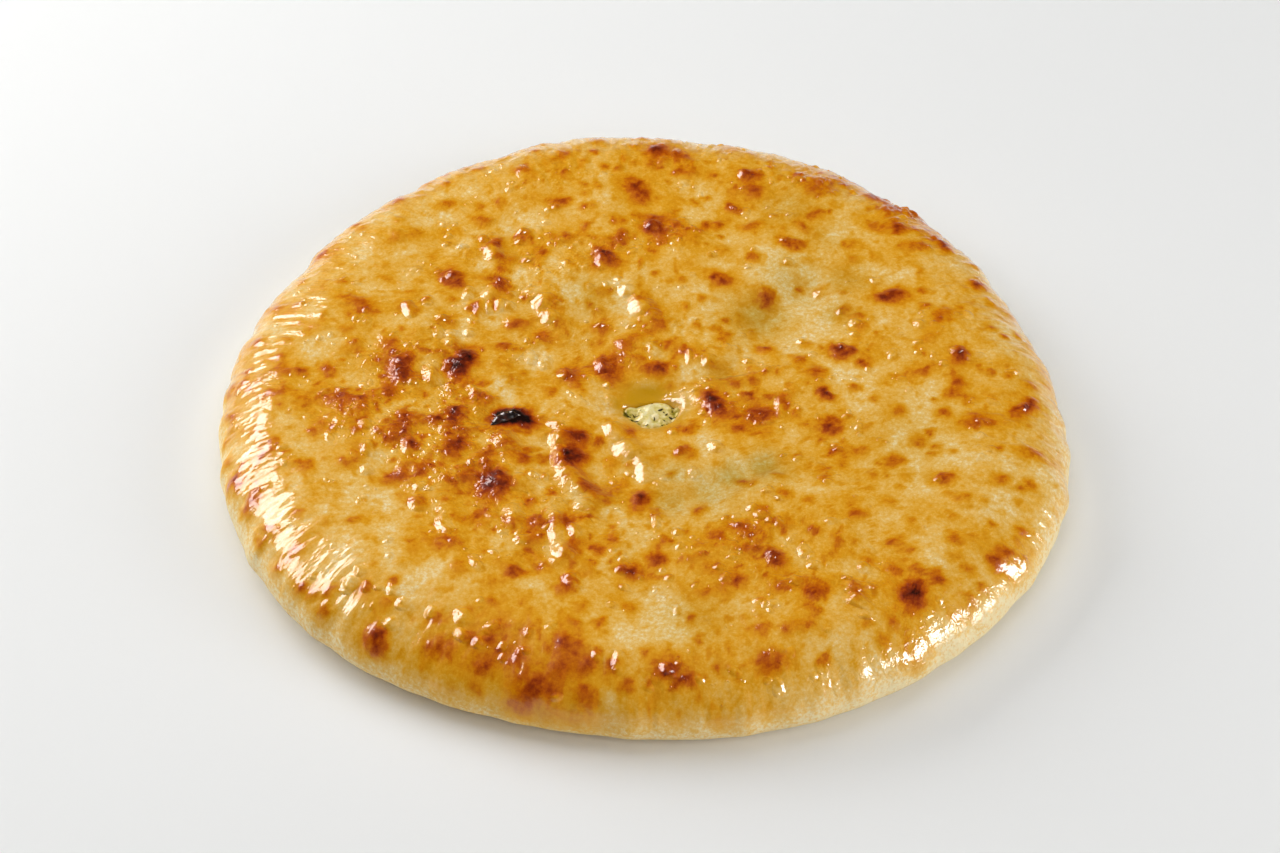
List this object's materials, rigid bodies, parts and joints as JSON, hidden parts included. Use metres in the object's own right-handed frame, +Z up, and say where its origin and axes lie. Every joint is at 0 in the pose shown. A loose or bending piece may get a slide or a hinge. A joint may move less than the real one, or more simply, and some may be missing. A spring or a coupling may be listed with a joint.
{
  "type": "cheese and herb pie",
  "caption": "Flat round closed pie of golden yeast dough with a puffed rim, browned blisters and a steam vent that shows its curd cheese and dill filling.",
  "frame": {"origin": "middle of the flat base", "axes": "+Z up through the vent side, -Y towards the side with the two amber patches on the rim, +X to the right seen from there"},
  "size_m": [0.3317, 0.3308, 0.0334],
  "materials": {
    "baked_dough": "yeast dough baked golden, with brown blisters, pale at the foot, brushed with melted butter",
    "curd_cheese": "moist crumbled curd cheese mixed with chopped dill"
  },
  "bodies": {
    "root": {"crust": "baked_dough", "filling": "curd_cheese"}
  },
  "joints": []
}
